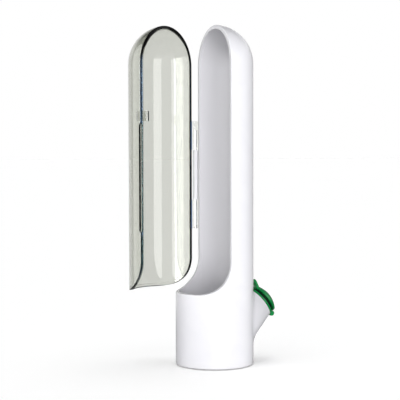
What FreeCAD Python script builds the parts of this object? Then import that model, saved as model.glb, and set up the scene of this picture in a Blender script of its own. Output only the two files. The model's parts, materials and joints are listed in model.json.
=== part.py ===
import FreeCAD, Part
import math
import os
from FreeCAD import Placement, Rotation, Vector

# Upright herb keeper: a round base that holds water, a half-round back that rises from it
# into a dome, and a clear cover that swings on an upright hinge at the side. A capped neck
# low on the back fills the base.
#
# Millimetres and degrees. Origin: centre of the foot pad, on the surface it stands on.
# +Z is up, the open side faces -Y, the cover's hinge is at -X and the filler neck at +Y.

# Body
body_radius = 30.0        # outside of base, back and dome
body_height = 260.5       # surface to crown
body_wall = 2.6
edge_round = 0.4          # moulded edges of body and cover
body_rim_round = 0.8      # outer edge of the body's rim
foot_gap = 0.8            # shadow gap under the body's lower edge
sill_height = 56.3        # front edge of the opening
sill_corner = 24.2        # radius from the sill up into the side edges
rim_step = 0.4            # rim around the opening thicker than the thicker of the two walls
rim_depth = 2.4           # how far the thick rim runs back from its edge

# Base plate, its seal and the pad under it
plate_gap = 0.1           # plate to body, all round
plate_thickness = 2.4
plate_lip_height = 8.0    # upstand that carries the seal
plate_lip_back = 1.2      # wall left behind the seal's groove
snap_bead = 0.5           # plate's retaining bead, and its groove in the body
snap_bead_height = 1.6
snap_bead_slope = 0.4     # height of the bead's slopes
snap_bead_lift = 0.8      # bead's lower edge above the plate's underside
seal_section = 2.0        # diameter of the seal's round section
seal_squeeze_room = 0.04  # seal to groove and wall, as drawn
pad_border = 1.7          # plate's edge around the pad
pad_recess = 0.8          # depth the pad is let into the plate

# Cover
cover_wall = 2.2
cover_gap = 0.35          # cover to body, along seam, sill and corner
cover_open = 64.55        # turn of the cover away from closed, as drawn

# Cover hinge
hinge_stand_off = 4.1     # hinge axis outside the body's wall, on the seam
knuckle_radius = 2.1
knuckle_gap = 0.4         # between knuckles, along the axis
cover_pin_radius = 1.0
pin_press = 0.02          # pin's bite in the part that holds it
pin_clearance = 0.05      # pin's radial clearance in the part that turns
pin_chamfer = 0.2
hinge_bottom = 103.0
hinge_top = 188.0
knuckle_length = 22.6     # each of the cover's two knuckles
knuckle_cap = 7.0         # solid top of the upper knuckle

# Cover's finger groove and catch, on the side away from the hinge
groove_bottom = 102.8
groove_top = 185.3
groove_width = 2.2        # cut back from the seam
groove_lip = 1.2          # thickness left inside the groove
groove_end_round = 2.0
tongue_lift = 1.5         # tongue above the finger groove
tongue_height = 7.6
tongue_reach = 4.0        # past the cover's edge, into the body
tongue_root = 6.0         # run along the inside of the cover
tongue_thickness = 1.3
tongue_clearance = 0.4    # tongue to the body's rim
tongue_round = 0.5

# Filler neck: its own frame has Z out along the neck, X as the body, Y down the mouth
mouth_stand_off = 8.6     # mouth centre behind the body's back
mouth_height = 45.27
neck_rise = 36.0          # neck's slope above level
neck_radius = 12.5        # outside, at the mouth
neck_draft = 13.5         # half angle at which the neck widens towards the body
neck_blend_top = 0.8      # fillet between neck and body, growing from the top...
neck_blend_bottom = 24.0  # ...to the underside
neck_root = 26.0          # neck's length from the mouth into the body
neck_wall = 2.2           # at the mouth
bore_seat = 6.0           # straight stretch of the bore behind the mouth

# Filler collar
collar_overhang = 0.5     # collar's edge past the neck's
collar_height = 1.6
sleeve_wall = 1.0
sleeve_length = 4.5

# Filler cap and stopper
cap_inset = 0.9           # cap's edge inside the collar's
cap_lift = 4.0            # cap's underside above the mouth
cap_edge = 1.7            # upright edge of the cap
cap_dome = 4.2
tab_width = 6.8
tab_length = 5.4          # past the cap's edge
tab_root = 3.0            # inside the cap's edge
tab_lift = 0.8            # tab's underside at its root above the cap's
tab_thickness = 1.7
tab_curl = 1.8            # rise of the tab's tip over its root
tab_round = 0.8           # edges of the tab, nearly half round
tab_blend = 2.0           # hollow fillet where the tab's top meets the cap's dome
stopper_inset = 1.9       # stopper's broad band inside the cap's edge
stopper_gap = 0.3         # stopper's shoulder above the collar
plug_clearance = 0.4      # plug to sleeve, at the collar's top
plug_length = 4.6
plug_taper = 1.3          # drop in radius from top to tip
stud_radius = 4.0         # stopper's stud in the cap
stud_height = 2.6

# Filler cap hinge, along X
cap_axis_inset = 0.4      # hinge axis inside the collar's edge
cap_axis_lift = 2.6       # above the mouth
cap_knuckle_radius = 2.07
cap_knuckle_length = 2.6
collar_knuckle_length = 2.6
cap_knuckle_gap = 0.3
cap_web = 1.5             # web from the cap's knuckle in under the cap
cap_pin_radius = 0.8
cap_pin_cover = 0.7       # collar knuckle's closed end beyond the pin

# Worked out from the above
spring_height = body_height - body_radius
rim_wall = max(body_wall, cover_wall) + rim_step
far = 3 * body_radius
overshoot = 10.0          # of a cut past the part
match = 0.01              # how near a point lies to what it counts as being on
hinge_x = -(body_radius + hinge_stand_off)
middle_bottom = hinge_bottom + knuckle_length + knuckle_gap
middle_top = hinge_top - knuckle_length - knuckle_gap
cover_turn = Placement(Vector(0, 0, 0), Rotation(Vector(0, 0, 1), -cover_open), Vector(hinge_x, 0, 0))
neck_spread = math.tan(math.radians(neck_draft))
body_inner = body_radius - body_wall
plate_bottom = foot_gap
plate_radius = body_inner - plate_gap
pad_radius = plate_radius - pad_border
tongue_bottom = groove_top + tongue_lift
mouth_back = body_radius + mouth_stand_off
bore_radius = neck_radius - neck_wall
collar_radius = neck_radius + collar_overhang
cap_radius = collar_radius - cap_inset
stopper_radius = cap_radius - stopper_inset
cap_axis_out = collar_radius - cap_axis_inset
neck_place = Placement(Vector(0, mouth_back, mouth_height), Rotation(Vector(1, 0, 0), neck_rise - 90))
sleeve_inner = bore_radius - sleeve_wall
overlap = 0.5             # how deep a fused detail is rooted


def turned(points):
    """Solid turned about Z from (radius, height) corners."""
    corners = [Vector(r, 0, z) for r, z in points]
    face = Part.Face(Part.makePolygon(corners + corners[:1]))
    return face.revolve(Vector(0, 0, 0), Vector(0, 0, 1), 360)


def tube(outer, inner, bottom, top):
    return turned([(inner, bottom), (outer, bottom), (outer, top), (inner, top)])


def box(low, high):
    size = Vector(*high) - Vector(*low)
    return Part.makeBox(size.x, size.y, size.z, Vector(*low))


def rod_x(radius, start, end, y, z):
    return Part.makeCylinder(radius, end - start, Vector(start, y, z), Vector(1, 0, 0))


def capsule(radius, bottom):
    """Upright round bar from bottom to a half-ball end at the dome."""
    crown = spring_height + radius
    diagonal = radius * math.sqrt(0.5)
    dome = Part.Arc(
        Vector(radius, 0, spring_height),
        Vector(diagonal, 0, spring_height + diagonal),
        Vector(0, 0, crown),
    ).toShape()
    edges = [
        Part.makeLine(Vector(0, 0, bottom), Vector(radius, 0, bottom)),
        Part.makeLine(Vector(radius, 0, bottom), Vector(radius, 0, spring_height)),
        dome,
        Part.makeLine(Vector(0, 0, crown), Vector(0, 0, bottom)),
    ]
    return Part.Face(Part.Wire(edges)).revolve(Vector(0, 0, 0), Vector(0, 0, 1), 360)


def opening(grow):
    """All that lies in front of the seam and above the sill, its edge moved out by grow."""
    radius = sill_corner + grow
    centre_y = -sill_corner
    centre_z = sill_height + sill_corner
    sill = sill_height - grow
    diagonal = radius * math.sqrt(0.5)
    corner = Part.Arc(
        Vector(-far, grow, centre_z),
        Vector(-far, centre_y + diagonal, centre_z - diagonal),
        Vector(-far, centre_y, sill),
    ).toShape()
    top = body_height + far
    edges = [
        Part.makeLine(Vector(-far, grow, top), Vector(-far, grow, centre_z)),
        corner,
        Part.makeLine(Vector(-far, centre_y, sill), Vector(-far, -far, sill)),
        Part.makeLine(Vector(-far, -far, sill), Vector(-far, -far, top)),
        Part.makeLine(Vector(-far, -far, top), Vector(-far, grow, top)),
    ]
    return Part.Face(Part.Wire(edges)).extrude(Vector(2 * far, 0, 0))


def rim(wall, band):
    """Inside thickening of a wall to the rim's thickness, where it lies in the band."""
    root = capsule(body_radius - wall / 2, foot_gap)
    return root.cut(capsule(body_radius - rim_wall, -overshoot)).common(band)


def rim_edges(shape, radius, grow):
    """Edges that run around the opening, at a radius of the skin and an offset of the opening."""
    found = []
    for edge in shape.Edges:
        if edge.Degenerated:
            continue
        points = edge.discretize(7)
        if all(on_skin(p, radius) and on_opening(p, grow) for p in points):
            found.append(edge)
    return found


def ring_edges(shape, radius, height=None):
    """Round edges about Z at a radius, and at a height where one is given."""
    found = []
    for edge in shape.Edges:
        if edge.Degenerated:
            continue
        points = edge.discretize(7)
        at_radius = all(abs(math.hypot(p.x, p.y) - radius) < match for p in points)
        level = height is None or all(abs(p.z - height) < match for p in points)
        if at_radius and level and max(p.z for p in points) - min(p.z for p in points) < match:
            found.append(edge)
    return found


def on_skin(point, radius):
    height = max(point.z - spring_height, 0)
    return abs(math.sqrt(point.x ** 2 + point.y ** 2 + height ** 2) - radius) < match


def on_opening(point, grow):
    centre_y = -sill_corner
    centre_z = sill_height + sill_corner
    if point.z >= centre_z:
        return abs(point.y - grow) < match
    if point.y <= centre_y:
        return abs(point.z - sill_height + grow) < match
    reach = math.hypot(point.y - centre_y, point.z - centre_z)
    return abs(reach - sill_corner - grow) < match


def neck_outside():
    """Outer skin of base, back and dome with the filler neck blended in.

    One half is made and mirrored, so that the blend can widen from the top of the neck to
    its underside on both sides alike. The seams of the round faces lie in the other half.
    """
    seam_away = Placement(Vector(0, 0, 0), Rotation(Vector(0, 0, 1), 180))
    cone = Part.makeCone(
        neck_radius + neck_spread * neck_root,
        neck_radius - neck_spread * overshoot,
        neck_root + overshoot,
        Vector(0, 0, -neck_root),
        Vector(0, 0, 1),
    )
    cone.Placement = neck_place.multiply(seam_away)
    skin = capsule(body_radius, foot_gap)
    skin.Placement = seam_away
    half_space = box((0, -far, -far), (far, far, body_height + far))
    half = skin.common(half_space).fuse(cone.common(half_space))
    half = half.makeFillet(neck_blend_top, neck_blend_bottom, [neck_foot_edge(half)])
    joined = half.fuse(half.mirror(Vector(0, 0, 0), Vector(1, 0, 0))).removeSplitter()
    trim = Part.makeCylinder(far, far, Vector(0, 0, 0), Vector(0, 0, 1))
    trim.Placement = neck_place
    back = box((-far, 0, 0), (far, far, spring_height))
    return joined.cut(trim.cut(capsule(body_radius, foot_gap)).common(back))


def neck_foot_edge(half):
    """The edge where the neck leaves the round of the body."""
    for edge in half.Edges:
        if edge.Degenerated:
            continue
        points = edge.discretize(9)
        behind = all(p.y > 0 and on_skin(p, body_radius) for p in points)
        if behind and max(p.x for p in points) > match and abs(points[0].z - points[-1].z) > match:
            return edge


def neck_bore():
    """Way in for the water: straight at the mouth, then widening with the neck."""
    wide = bore_radius + neck_spread * (neck_root - bore_seat)
    bore = turned([
        (0, -neck_root),
        (wide, -neck_root),
        (bore_radius, -bore_seat),
        (bore_radius, overshoot),
        (0, overshoot),
    ])
    bore.Placement = neck_place
    return bore


def soften_rim(shell, wall, edge, inner_edge, outer_round):
    """Round the step where the thick rim ends inside, and the rim's outer edge."""
    step_round = (rim_wall - wall) / 2
    shell = shell.makeFillet(step_round, rim_edges(shell, body_radius - rim_wall, inner_edge))
    return shell.makeFillet(outer_round, rim_edges(shell, body_radius, edge))


def hinge_knuckle(bottom, top, side):
    """Barrel on the hinge axis with its web to the wall on one side of the seam."""
    barrel = Part.makeCylinder(knuckle_radius, top - bottom, Vector(hinge_x, 0, bottom))
    reach = -body_radius + body_wall / 2
    low, high = sorted((side * cover_gap, side * knuckle_radius))
    web = box((hinge_x, low, bottom), (reach, high, top))
    return barrel.fuse(web)


def hinge_hole(radius):
    """Hole for the cover's hinge pin, open below and closed by the upper knuckle's top."""
    bottom = hinge_bottom - overshoot
    return Part.makeCylinder(radius, hinge_top - knuckle_cap - bottom, Vector(hinge_x, 0, bottom))


def make_body_shell():
    shell = neck_outside()
    shell = shell.makeFillet(edge_round, ring_edges(shell, body_radius, foot_gap))
    shell = shell.cut(capsule(body_inner, -overshoot))
    shell = shell.cut(neck_bore())
    shell = shell.cut(opening(0))
    shell = shell.fuse(rim(body_wall, opening(rim_depth).cut(opening(0))))
    shell = soften_rim(shell, body_wall, 0, rim_depth, body_rim_round)
    shell = shell.fuse(hinge_knuckle(middle_bottom, middle_top, 1))
    shell = shell.cut(hinge_hole(cover_pin_radius - pin_press))
    bead_low = plate_bottom + snap_bead_lift
    groove = tube(
        body_inner + snap_bead, plate_radius, bead_low - plate_gap, bead_low + snap_bead_height + plate_gap
    )
    return shell.cut(groove).removeSplitter()


def make_base_plate():
    """Snap-in floor with an upstand that carries the seal."""
    floor_top = plate_bottom + plate_thickness
    lip_top = plate_bottom + plate_lip_height
    groove_inner = body_inner - seal_section - 2 * seal_squeeze_room
    lip_inner = groove_inner - plate_lip_back
    bead_low = plate_bottom + snap_bead_lift
    outline = [
        (0, plate_bottom + pad_recess),
        (pad_radius, plate_bottom + pad_recess),
        (pad_radius, plate_bottom),
        (plate_radius, plate_bottom),
        (plate_radius, bead_low),
        (plate_radius + snap_bead, bead_low + snap_bead_slope),
        (plate_radius + snap_bead, bead_low + snap_bead_height - snap_bead_slope),
        (plate_radius, bead_low + snap_bead_height),
        (plate_radius, lip_top),
        (lip_inner, lip_top),
        (lip_inner, floor_top),
        (0, floor_top),
    ]
    groove_half = seal_section / 2 + seal_squeeze_room
    groove = tube(body_radius, groove_inner, seal_height() - groove_half, seal_height() + groove_half)
    return turned(outline).cut(groove)


def seal_height():
    bead_top = plate_bottom + snap_bead_lift + snap_bead_height
    return (bead_top + plate_bottom + plate_lip_height) / 2


def make_base_seal():
    ring_radius = body_inner - seal_squeeze_room - seal_section / 2
    return Part.makeTorus(ring_radius, seal_section / 2, Vector(0, 0, seal_height()))


def make_foot_pad():
    pad_top = plate_bottom + pad_recess
    pad = Part.makeCylinder(pad_radius - plate_gap, pad_top)
    return pad.makeFillet(edge_round, ring_edges(pad, pad_radius - plate_gap, 0))


def finger_groove():
    """Cut in the outer half of the cover's free edge, for a finger nail."""
    cut = box((0, -groove_width, groove_bottom), (far, far, groove_top))
    ends = [
        e for e in cut.Edges
        if all(abs(p.y + groove_width) < match for p in e.discretize(3))
        and abs(e.Vertexes[0].Point.x - e.Vertexes[1].Point.x) > match
    ]
    cut = cut.makeFillet(groove_end_round, ends)
    lip_radius = body_radius - rim_wall + groove_lip
    return cut.cut(Part.makeCylinder(lip_radius, body_height))


def catch_tongue():
    """Tongue inside the cover's free edge that reaches past it into the body."""
    outer = body_radius - rim_wall - tongue_clearance
    ring = tube(outer, outer - tongue_thickness, tongue_bottom, tongue_bottom + tongue_height)
    reach = tongue_reach - cover_gap
    blade = box((0, -tongue_root, 0), (far, reach, body_height))
    tongue = ring.common(blade)
    tip = [
        e for e in tongue.Edges
        if all(abs(p.y - reach) < match for p in e.discretize(3))
        and abs(e.Vertexes[0].Point.z - e.Vertexes[1].Point.z) < match
    ]
    tongue = tongue.makeFillet(tongue_round, tip)
    root_ring = tube(
        body_radius - cover_wall + overlap, outer - overlap, tongue_bottom, tongue_bottom + tongue_height
    )
    root = root_ring.common(box((0, -tongue_root, 0), (far, -cover_gap - 2 * edge_round, body_height)))
    return tongue.fuse(root)


def make_cover_shell():
    edge = -cover_gap
    shell = capsule(body_radius, foot_gap).cut(capsule(body_radius - cover_wall, -overshoot))
    shell = shell.common(opening(edge))
    shell = shell.fuse(rim(cover_wall, opening(edge).cut(opening(edge - rim_depth))))
    shell = soften_rim(shell, cover_wall, edge, edge - rim_depth, edge_round)
    shell = shell.cut(finger_groove()).fuse(catch_tongue())
    lower_top = hinge_bottom + knuckle_length
    upper_bottom = hinge_top - knuckle_length
    for bottom, top in ((hinge_bottom, lower_top), (upper_bottom, hinge_top)):
        shell = shell.fuse(hinge_knuckle(bottom, top, -1))
    shell = shell.cut(hinge_hole(cover_pin_radius + pin_clearance))
    shell = shell.removeSplitter()
    shell.Placement = cover_turn
    return shell


def make_cover_hinge_pin():
    top = hinge_top - knuckle_cap - knuckle_gap
    pin = Part.makeCylinder(cover_pin_radius, top - hinge_bottom, Vector(hinge_x, 0, hinge_bottom))
    return pin.makeChamfer(pin_chamfer, [e for e in pin.Edges if len(e.Vertexes) == 1])


def collar_knuckle_spans():
    """Where the collar's two knuckles lie along X, left and right of the cap's."""
    start = cap_knuckle_length / 2 + cap_knuckle_gap
    return [(-start - collar_knuckle_length, -start), (start, start + collar_knuckle_length)]


def make_filler_collar():
    collar = tube(collar_radius, sleeve_inner, 0, collar_height)
    collar = collar.makeFillet(edge_round, ring_edges(collar, collar_radius))
    collar = collar.fuse(tube(bore_radius, sleeve_inner, -sleeve_length, 0))
    for start, end in collar_knuckle_spans():
        foot = box(
            (start, cap_axis_out - cap_knuckle_radius, 0),
            (end, cap_axis_out, cap_axis_lift),
        )
        barrel = rod_x(cap_knuckle_radius, start, end, cap_axis_out, cap_axis_lift)
        collar = collar.fuse(barrel.fuse(foot))
    half = cap_knuckle_length / 2 + cap_knuckle_gap
    relief = cap_knuckle_radius + cap_knuckle_gap
    collar = collar.cut(rod_x(relief, -half, half, cap_axis_out, cap_axis_lift))
    collar = collar.cut(rod_x(
        cap_pin_radius - pin_press, -far, cap_pin_end(), cap_axis_out, cap_axis_lift
    ))
    collar = collar.removeSplitter()
    collar.Placement = neck_place
    return collar


def cap_pin_end():
    return collar_knuckle_spans()[1][1] - cap_pin_cover


def make_filler_hinge_pin():
    start = collar_knuckle_spans()[0][0]
    pin = rod_x(cap_pin_radius, start, cap_pin_end(), cap_axis_out, cap_axis_lift)
    pin.Placement = neck_place
    return pin


def cap_disc():
    """Domed disc with an upright edge."""
    shoulder = cap_lift + cap_edge
    crown = shoulder + cap_dome
    sphere_radius = (cap_radius ** 2 + cap_dome ** 2) / (2 * cap_dome)
    half_angle = math.asin(cap_radius / sphere_radius) / 2
    middle = Vector(
        sphere_radius * math.sin(half_angle), 0, crown - sphere_radius * (1 - math.cos(half_angle))
    )
    dome = Part.Arc(Vector(cap_radius, 0, shoulder), middle, Vector(0, 0, crown)).toShape()
    edges = [
        Part.makeLine(Vector(0, 0, cap_lift), Vector(cap_radius, 0, cap_lift)),
        Part.makeLine(Vector(cap_radius, 0, cap_lift), Vector(cap_radius, 0, shoulder)),
        dome,
        Part.makeLine(Vector(0, 0, crown), Vector(0, 0, cap_lift)),
    ]
    disc = Part.Face(Part.Wire(edges)).revolve(Vector(0, 0, 0), Vector(0, 0, 1), 360)
    return disc.makeFillet(edge_round, ring_edges(disc, cap_radius))


def pull_tab():
    """Curled tongue on the cap's upper edge, opposite the hinge, with a round end."""
    root = tab_root - cap_radius
    tip = -cap_radius - tab_length
    length = root - tip
    bend = (length ** 2 + tab_curl ** 2) / (2 * tab_curl)
    turn = math.asin((length + tab_round) / bend)
    centre = cap_lift + tab_lift + bend

    def arc(radius):
        """Curve from the root, level, rising to a little past the tip."""
        return [
            Vector(-far, root - radius * math.sin(a), centre - radius * math.cos(a))
            for a in (0, turn / 2, turn)
        ]

    low = arc(bend)
    high = arc(bend - tab_thickness)
    side = Part.Face(Part.Wire([
        Part.Arc(*low).toShape(),
        Part.makeLine(low[2], high[2]),
        Part.Arc(*high).toShape(),
        Part.makeLine(high[0], low[0]),
    ])).extrude(Vector(2 * far, 0, 0))
    half_width = tab_width / 2
    plan = Part.makeCylinder(half_width, far, Vector(0, tip + half_width, 0))
    plan = plan.fuse(box((-half_width, tip + half_width, 0), (half_width, root, far)))
    tab = side.common(plan.removeSplitter())
    rounded = [e for e in tab.Edges if e.Length > 2 * tab_thickness and not on_root(e, root)]
    return tab.makeFillet(tab_round, rounded)


def on_root(edge, root):
    return all(abs(p.y - root) < match for p in edge.discretize(3))


def blend_tab(cap):
    """Hollow fillet along the crease between the tab's top and the dome."""
    crease = [
        e for e in cap.Edges
        if not e.Degenerated
        and e.Length > tab_round / 2
        and e.BoundBox.ZMin > cap_lift + cap_edge
        and e.BoundBox.YMax < tab_root - cap_radius
        and e.BoundBox.YMin > -cap_radius
        and max(abs(e.BoundBox.XMin), abs(e.BoundBox.XMax)) < tab_width / 2 + match
    ]
    return cap.makeFillet(tab_blend, crease)


def make_filler_cap():
    cap = blend_tab(cap_disc().fuse(pull_tab()))
    half = cap_knuckle_length / 2
    web = box(
        (-half, cap_axis_out - cap_knuckle_radius - cap_web, cap_axis_lift),
        (half, cap_axis_out, cap_lift + overlap),
    )
    barrel = rod_x(cap_knuckle_radius, -half, half, cap_axis_out, cap_axis_lift)
    relief = cap_knuckle_radius + cap_knuckle_gap
    reach = half + collar_knuckle_length + 2 * cap_knuckle_gap
    for start, end in ((-reach, -half), (half, reach)):
        cap = cap.cut(rod_x(relief, start, end, cap_axis_out, cap_axis_lift))
    cap = cap.fuse(barrel).fuse(web)
    cap = cap.cut(Part.makeCylinder(stopper_radius, cap_lift))
    cap = cap.cut(rod_x(cap_pin_radius + pin_clearance, -far, far, cap_axis_out, cap_axis_lift))
    cap = cap.cut(Part.makeCylinder(stud_radius, cap_lift + stud_height))
    cap = cap.removeSplitter()
    cap.Placement = neck_place
    return cap


def make_filler_stopper():
    """Soft stopper: stud in the cap, broad band, tapered plug in the collar's sleeve."""
    shoulder = collar_height + stopper_gap
    plug_top = sleeve_inner - plug_clearance
    plug_tip = plug_top - plug_taper
    tip_height = collar_height - plug_length
    stopper = turned([
        (0, tip_height),
        (plug_tip - edge_round, tip_height),
        (plug_tip, tip_height + edge_round),
        (plug_top, collar_height),
        (plug_top, shoulder),
        (stopper_radius, shoulder),
        (stopper_radius, cap_lift),
        (stud_radius, cap_lift),
        (stud_radius, cap_lift + stud_height),
        (0, cap_lift + stud_height),
    ])
    stopper.Placement = neck_place
    return stopper


parts = {
    "body_shell": make_body_shell(),
    "base_plate": make_base_plate(),
    "base_seal": make_base_seal(),
    "foot_pad": make_foot_pad(),
    "cover_shell": make_cover_shell(),
    "cover_hinge_pin": make_cover_hinge_pin(),
    "filler_collar": make_filler_collar(),
    "filler_cap": make_filler_cap(),
    "filler_stopper": make_filler_stopper(),
    "filler_hinge_pin": make_filler_hinge_pin(),
}

os.makedirs("parts", exist_ok=True)
for name, shape in parts.items():
    shape.exportStep(os.path.join("parts", name + ".step"))
    print(name, "solids", len(shape.Solids), "valid", shape.isValid(), "volume", round(shape.Volume, 1))
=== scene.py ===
"""Finishes for an upright herb keeper, and the stage it stands on.

The construction model is loaded as a fixed frame. Each operator below dresses one group of its
pieces, and the last one builds the floor, the light and the camera.
"""

import json
import math

import bpy
from bpy.props import FloatProperty, FloatVectorProperty, IntProperty, PointerProperty
from bpy.types import Operator, Panel, PropertyGroup
from mathutils import Matrix, Vector


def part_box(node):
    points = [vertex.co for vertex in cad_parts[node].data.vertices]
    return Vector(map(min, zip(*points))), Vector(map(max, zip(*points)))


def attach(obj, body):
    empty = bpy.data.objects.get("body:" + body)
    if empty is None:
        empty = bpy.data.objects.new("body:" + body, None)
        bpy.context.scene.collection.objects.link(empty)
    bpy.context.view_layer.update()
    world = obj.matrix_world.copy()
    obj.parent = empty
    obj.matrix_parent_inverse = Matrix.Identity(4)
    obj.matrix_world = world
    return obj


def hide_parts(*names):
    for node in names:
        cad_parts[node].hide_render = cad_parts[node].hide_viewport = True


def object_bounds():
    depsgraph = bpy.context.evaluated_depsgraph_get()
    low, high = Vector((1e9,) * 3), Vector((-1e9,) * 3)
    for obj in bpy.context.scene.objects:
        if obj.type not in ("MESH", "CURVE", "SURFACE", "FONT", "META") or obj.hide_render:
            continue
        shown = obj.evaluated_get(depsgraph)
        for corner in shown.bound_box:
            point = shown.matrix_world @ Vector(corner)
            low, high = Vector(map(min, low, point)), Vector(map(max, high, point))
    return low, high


bl_info = {
    "name": "Herb Keeper",
    "version": (1, 0, 0),
    "blender": (4, 5, 0),
    "location": "View3D > Sidebar > Herb Keeper",
    "description": "Dresses the pieces of an upright herb keeper and sets up its stage",
    "category": "Object",
}

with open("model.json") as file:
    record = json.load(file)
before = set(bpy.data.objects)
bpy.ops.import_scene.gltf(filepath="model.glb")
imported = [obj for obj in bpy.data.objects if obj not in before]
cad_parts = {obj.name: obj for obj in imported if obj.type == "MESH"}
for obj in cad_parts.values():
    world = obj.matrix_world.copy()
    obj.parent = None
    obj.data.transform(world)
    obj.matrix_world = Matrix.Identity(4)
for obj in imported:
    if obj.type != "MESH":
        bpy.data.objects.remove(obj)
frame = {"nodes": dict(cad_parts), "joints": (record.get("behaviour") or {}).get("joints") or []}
cad_low, cad_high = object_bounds()

MM = 0.001
BODY_RADIUS = cad_high.x
# How far a mask reaches past the face that it marks.
SLACK = 0.1 * MM

# The cover's opening and finger groove, in the closed cover's place.
SILL_HEIGHT = 56.3 * MM
SILL_CORNER = 24.2 * MM
COVER_GAP = 0.35 * MM
COVER_INSIDE = 27.8 * MM
DOME_CENTRE = 230.5 * MM
GROOVE_WIDTH = 2.2 * MM
GROOVE_FLOOR = 28.15 * MM
GROOVE_SPAN = (102.8 * MM, 185.3 * MM)
GROOVE_WALL_SLACK = 0.12 * MM

# How deep the painted shade of the cut edge reaches: its plain depth, what is added beside the
# groove, and what is added over the dome on the free side and on the hinge's side.
EDGE_DEPTH = 0.5 * MM
GROOVE_ADDS = 0.4 * MM
DOME_ADDS = (0.1 * MM, 1.8 * MM)
# Places across the cover where the hinge's side begins and is full, and heights over the dome's
# centre between which the added depth grows on each side.
HINGE_SIDE = (14 * MM, -2 * MM)
GROWS_ON_FREE_SIDE = (16 * MM, 29 * MM)
GROWS_ON_HINGE_SIDE = (6 * MM, 26 * MM)
# Heights where the painted edge shade turns to the arch's colour, and to that under the groove.
ARCH_BLEND = (DOME_CENTRE - 5 * MM, DOME_CENTRE + 8 * MM)
UNDER_GROOVE_BLEND = (GROOVE_SPAN[0], GROOVE_SPAN[0] - 4 * MM)

# The stopper in its own frame: origin at the middle of the mouth, Z out of it.
MOUTH = (0, 38.6 * MM, 45.27 * MM)
MOUTH_TURN = math.radians(-54)
PLUG_TOP = 8.9 * MM
PLUG_TIP = 7.6 * MM
PLUG_BOTTOM = -3.0 * MM
COLLAR_TOP = 1.6 * MM
BAND_RADIUS = 10.2 * MM
BAND_BOTTOM = 1.9 * MM
BAND_TOP = 4.0 * MM
STUD_RADIUS = 4.0 * MM
STUD_TOP = 6.6 * MM
SOFT_EDGE = 0.4 * MM
STOPPER_SEGMENTS = 72
# How far the first lip's middle is from the plug's tip, in spacings of the lips.
LIP_START = 0.75

# The foot pad's grip studs.
PAD_SEGMENTS = 96
STUD_SIDES = 14
STUD_TAPER = 0.72
STUD_SUNK = 0.1 * MM
# Distance between staggered rows, as a share of the pitch.
ROW_STEP = math.sqrt(3) / 2

ROUND_STEPS = 6
SHARP_ANGLE = 35
MERGE_DISTANCE = 0.001 * MM

PLASTIC_IOR = 1.49
RUBBER_IOR = 1.45
# Height of the grain in each finish.
GRAIN_HEIGHT = {
    "white": 0.002 * MM,
    "green": 0.006 * MM,
    "plate": 0.01 * MM,
    "rubber": 0.02 * MM,
    "steel": 0.004 * MM,
}
# Colour of the flow clouds, as a share of the plain colour.
CLOUD_TONE = {"green": 0.82, "plate": 0.93, "rubber": 1.18}
# What clouds, scuffs and drawing streaks add to the roughness.
CLOUD_ROUGHNESS = {"white": 0.05, "rubber": 0.1}
SCUFF_ROUGHNESS = {"white": 0.25, "clear": 0.10, "green": 0.15}
STREAK_ROUGHNESS = 0.2
STREAK_WIDTH = 0.12 * MM
# Width over length of a drawing streak, and of a wave in the clear wall.
STREAK_STRETCH = 0.02
WAVE_STRETCH = 0.12
# The dust's share of the colour at the foot, and the turned rings' height against the grain's.
DUST_SHARE = 0.3
RING_SHARE = 0.5
# How quickly the painted shade of the inner wall begins, as a share of the polished depth.
HOLLOW_SHADE_BLEND = 0.1
# Noise values between which a cloud and a patch of scratches grow, half a scratch's width on the
# same scale, and how close scratches run, against their patches.
CLOUD_RANGE = (0.3, 0.7)
SCRATCH_PATCH = (0.5, 0.75)
SCRATCH_HALF = 0.012
SCRATCH_CLOSENESS = 0.6
# How far the painted edge shade also dims the cut edge's gloss, plainly and where it is darkest,
# and the gloss left there.
EDGE_SHADE_DIMMING = (0.6, 1.0)
EDGE_SHADE_GLOSS = 0.1
# Share of the lamps' light that goes through a clear wall.
LAMPS_THROUGH = 0.9


# ---------------------------------------------------------------- settings


def colour(name, description, value):
    return FloatVectorProperty(
        name=name, description=description, subtype="COLOR", size=3, min=0, max=1, default=value
    )


def factor(name, description, value):
    return FloatProperty(
        name=name, description=description, subtype="FACTOR", min=0, max=1, default=value
    )


def length(name, description, value):
    return FloatProperty(name=name, description=description, unit="LENGTH", min=0, default=value)


def angle(name, description, degrees):
    value = math.radians(degrees)
    return FloatProperty(
        name=name, description=description, subtype="ANGLE", unit="ROTATION", default=value
    )


def strength(name, description, value):
    return FloatProperty(name=name, description=description, min=0, default=value)


class BodySettings(PropertyGroup):
    """Finish of the white body."""

    white: colour("White", "Colour of the moulded body", (0.80, 0.797, 0.83))
    shade: colour(
        "Flow shade", "Colour of the faint flow clouds in the moulding", (0.775, 0.772, 0.81)
    )
    # The inner wall's colour is painted shade that greys the inside of the cavity.
    hollow: colour("Hollow", "Colour of the body's inner wall", (0.695, 0.69, 0.72))
    dust: colour(
        "Foot dust", "Colour of the dust that gathers above the foot", (0.60, 0.59, 0.57)
    )
    roughness: factor("Roughness", "Roughness of the polished outside", 0.17)
    inside: factor("Inside roughness", "Roughness of the plainer inside", 0.38)
    wall: length(
        "Polished depth", "How far in from the outside the polished face counts", 1.2 * MM
    )
    grain: length("Grain size", "Size of the fine grain left by the mould", 0.9 * MM)
    scuff_height: length("Scuff height", "How high scuffs reach above the foot", 6 * MM)


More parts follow.
